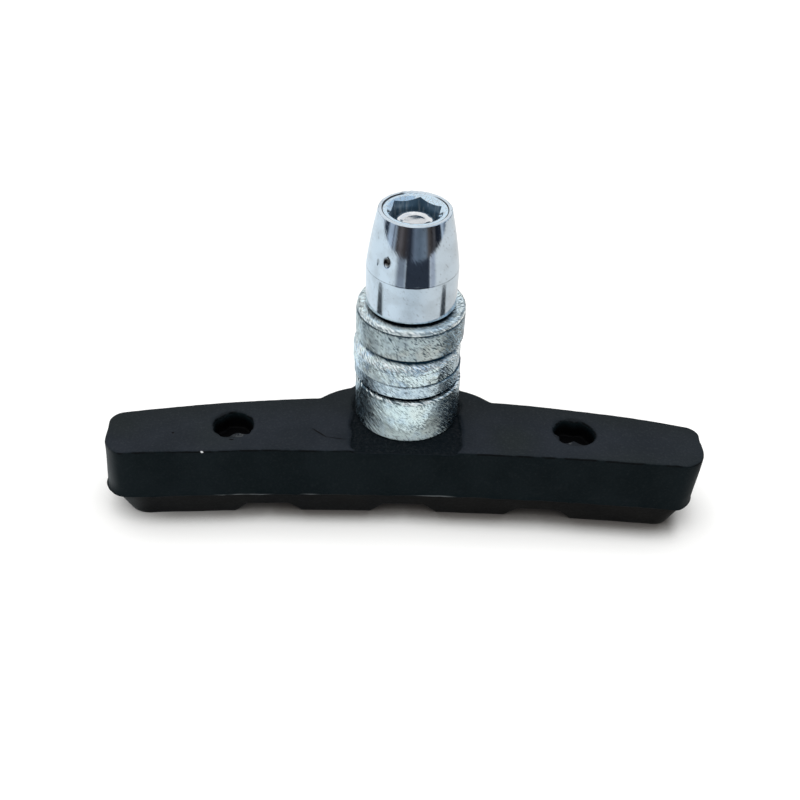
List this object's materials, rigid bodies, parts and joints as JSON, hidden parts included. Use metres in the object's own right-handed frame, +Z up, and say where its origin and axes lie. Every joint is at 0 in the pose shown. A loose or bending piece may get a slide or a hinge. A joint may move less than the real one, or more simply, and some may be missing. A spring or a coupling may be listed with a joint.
{
  "type": "bicycle rim brake pad",
  "caption": "Curved moulded rubber rim brake pad on a threaded stud, with ball-seat washers that let it tilt on the brake arm and a tapered hex-socket nut.",
  "frame": {"origin": "where the stud's axis meets the plane of the friction face", "axes": "+X along the pad, +Z up the stud from the friction face to the nut, +Y to the bulging edge"},
  "size_m": [0.07, 0.0176, 0.0369],
  "materials": {
    "rubber": "matt moulded black rubber",
    "zinc_steel": "tumbled zinc plate, scratched",
    "plate_steel": "bare pressed steel",
    "nut_plating": "bright bluish plating"
  },
  "bodies": {
    "pad": {"pad_body": "rubber", "backing_plate": "plate_steel", "stud": "zinc_steel", "lower_cup": "zinc_steel", "lower_dome": "zinc_steel"},
    "upper_clamp": {"upper_dome": "zinc_steel", "upper_cup": "zinc_steel", "flat_washer": "zinc_steel"},
    "nut": {"nut": "nut_plating"}
  },
  "joints": [
    {"name": "clamp_slide", "type": "slide", "parent": "pad", "child": "upper_clamp", "axis": [0, 0, 1], "range_m": [0, 0.005]},
    {"name": "nut_turn", "type": "hinge", "parent": "upper_clamp", "child": "nut", "pos_m": [0, 0, 0.02537], "axis": [0, 0, 1], "range_deg": [0, 1800]}
  ],
  "couplings": [
    {"joint": "nut_turn", "follows": "clamp_slide", "rad_per_m": 6283.2}
  ]
}
